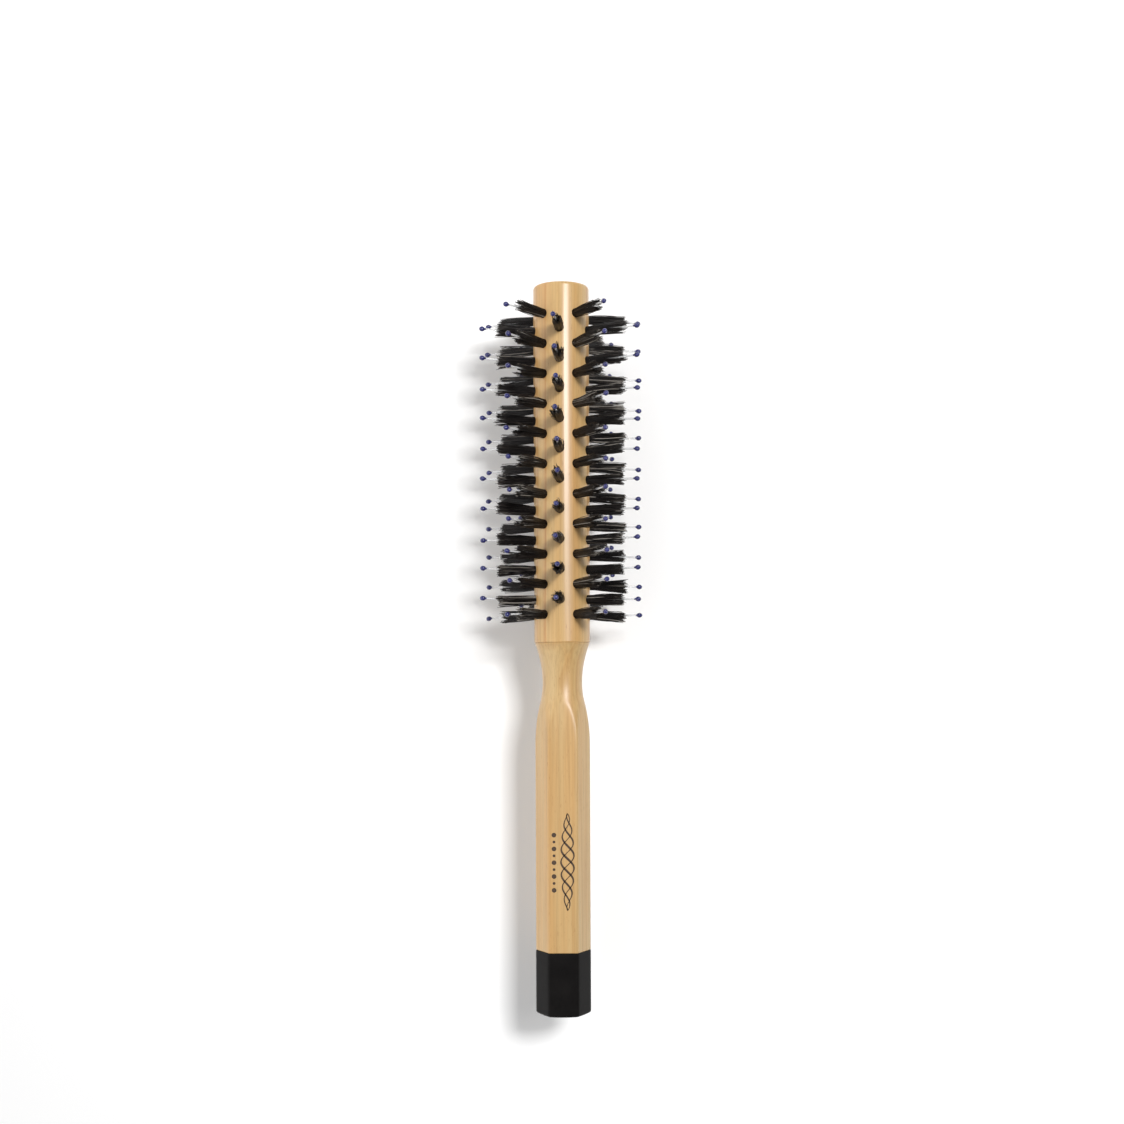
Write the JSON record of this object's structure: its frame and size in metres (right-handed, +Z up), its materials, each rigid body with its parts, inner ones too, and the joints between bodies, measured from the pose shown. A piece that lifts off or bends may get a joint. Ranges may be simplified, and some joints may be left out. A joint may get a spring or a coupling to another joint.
{
  "type": "round barrel brush",
  "caption": "Round barrel hair brush with a wooden barrel, rows of bristle tufts, ball-tipped pins, a six-sided wooden handle and an end cap.",
  "frame": {"origin": "on the brush's axis in the small flat at the middle of the butt's end", "axes": "+X along the brush's axis from the butt to the head, +Z up out of one flat of the six-sided grip"},
  "size_m": [0.235, 0.052, 0.0534],
  "materials": {
    "handle_wood": "clear satin lacquer over pale beech",
    "barrel_wood": "clear gloss lacquer over pale beech",
    "cap_plastic": "black satin",
    "bristle": "natural dark bristle, slightly glossy",
    "nylon": "clear nylon",
    "tip_plastic": "glossy navy",
    "staple_wire": "plain flat wire"
  },
  "bodies": {
    "root": {"handle": "handle_wood", "barrel": "barrel_wood", "end_cap": "cap_plastic", "bristle_tufts_row_01": "bristle", "bristle_tufts_row_02": "bristle", "bristle_tufts_row_03": "bristle", "bristle_tufts_row_04": "bristle", "bristle_tufts_row_05": "bristle", "bristle_tufts_row_06": "bristle", "bristle_tufts_row_07": "bristle", "bristle_tufts_row_08": "bristle", "bristle_tufts_row_09": "bristle", "bristle_tufts_row_10": "bristle", "nylon_pins_row_01": "nylon", "nylon_pins_row_02": "nylon", "nylon_pins_row_03": "nylon", "nylon_pins_row_04": "nylon", "nylon_pins_row_05": "nylon", "nylon_pins_row_06": "nylon", "nylon_pins_row_07": "nylon", "nylon_pins_row_08": "nylon", "nylon_pins_row_09": "nylon", "nylon_pins_row_10": "nylon", "ball_tips_row_01": "tip_plastic", "ball_tips_row_02": "tip_plastic", "ball_tips_row_03": "tip_plastic", "ball_tips_row_04": "tip_plastic", "ball_tips_row_05": "tip_plastic", "ball_tips_row_06": "tip_plastic", "ball_tips_row_07": "tip_plastic", "ball_tips_row_08": "tip_plastic", "ball_tips_row_09": "tip_plastic", "ball_tips_row_10": "tip_plastic", "staples_row_01": "staple_wire", "staples_row_02": "staple_wire", "staples_row_03": "staple_wire", "staples_row_04": "staple_wire", "staples_row_05": "staple_wire", "staples_row_06": "staple_wire", "staples_row_07": "staple_wire", "staples_row_08": "staple_wire", "staples_row_09": "staple_wire", "staples_row_10": "staple_wire"}
  },
  "joints": []
}
